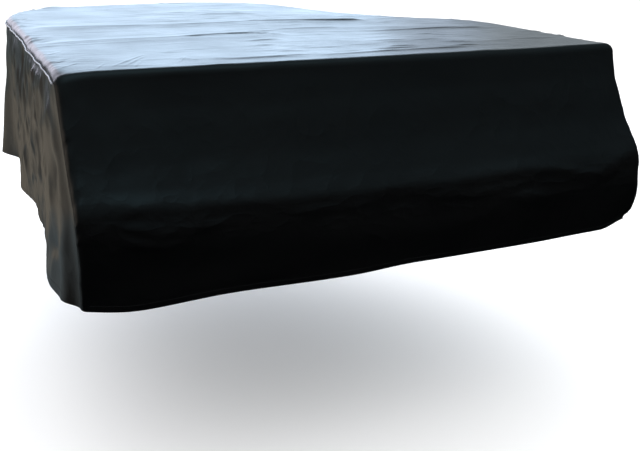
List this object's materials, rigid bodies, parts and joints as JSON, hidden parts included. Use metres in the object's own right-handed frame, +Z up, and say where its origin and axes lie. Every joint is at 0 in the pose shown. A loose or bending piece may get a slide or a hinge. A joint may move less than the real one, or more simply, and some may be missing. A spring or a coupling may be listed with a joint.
{
  "type": "fitted grand piano cover",
  "caption": "Fitted hollow cloth cover for a closed grand piano, with a flat top, a front flap over the keys and a side skirt in soft flutes.",
  "frame": {"origin": "on the underside of the top panel, near its middle, where the cover rests on the closed lid", "axes": "+Y from the keyboard to the tail, +X from the bass side to the treble side, +Z up"},
  "size_m": [1.617, 1.881, 0.5234],
  "materials": {
    "coated_nylon": "tightly woven black nylon with a smooth proofed face, satin sheen at a low angle, fine plain weave, creased",
    "welt_cloth": "the same black cloth, folded and stitched into a narrow standing welt",
    "sewing_thread": "black polyester sewing thread"
  },
  "bodies": {
    "root": {"top_and_front": "coated_nylon", "side_skirt": "coated_nylon", "seam_welt": "welt_cloth"}
  },
  "joints": []
}
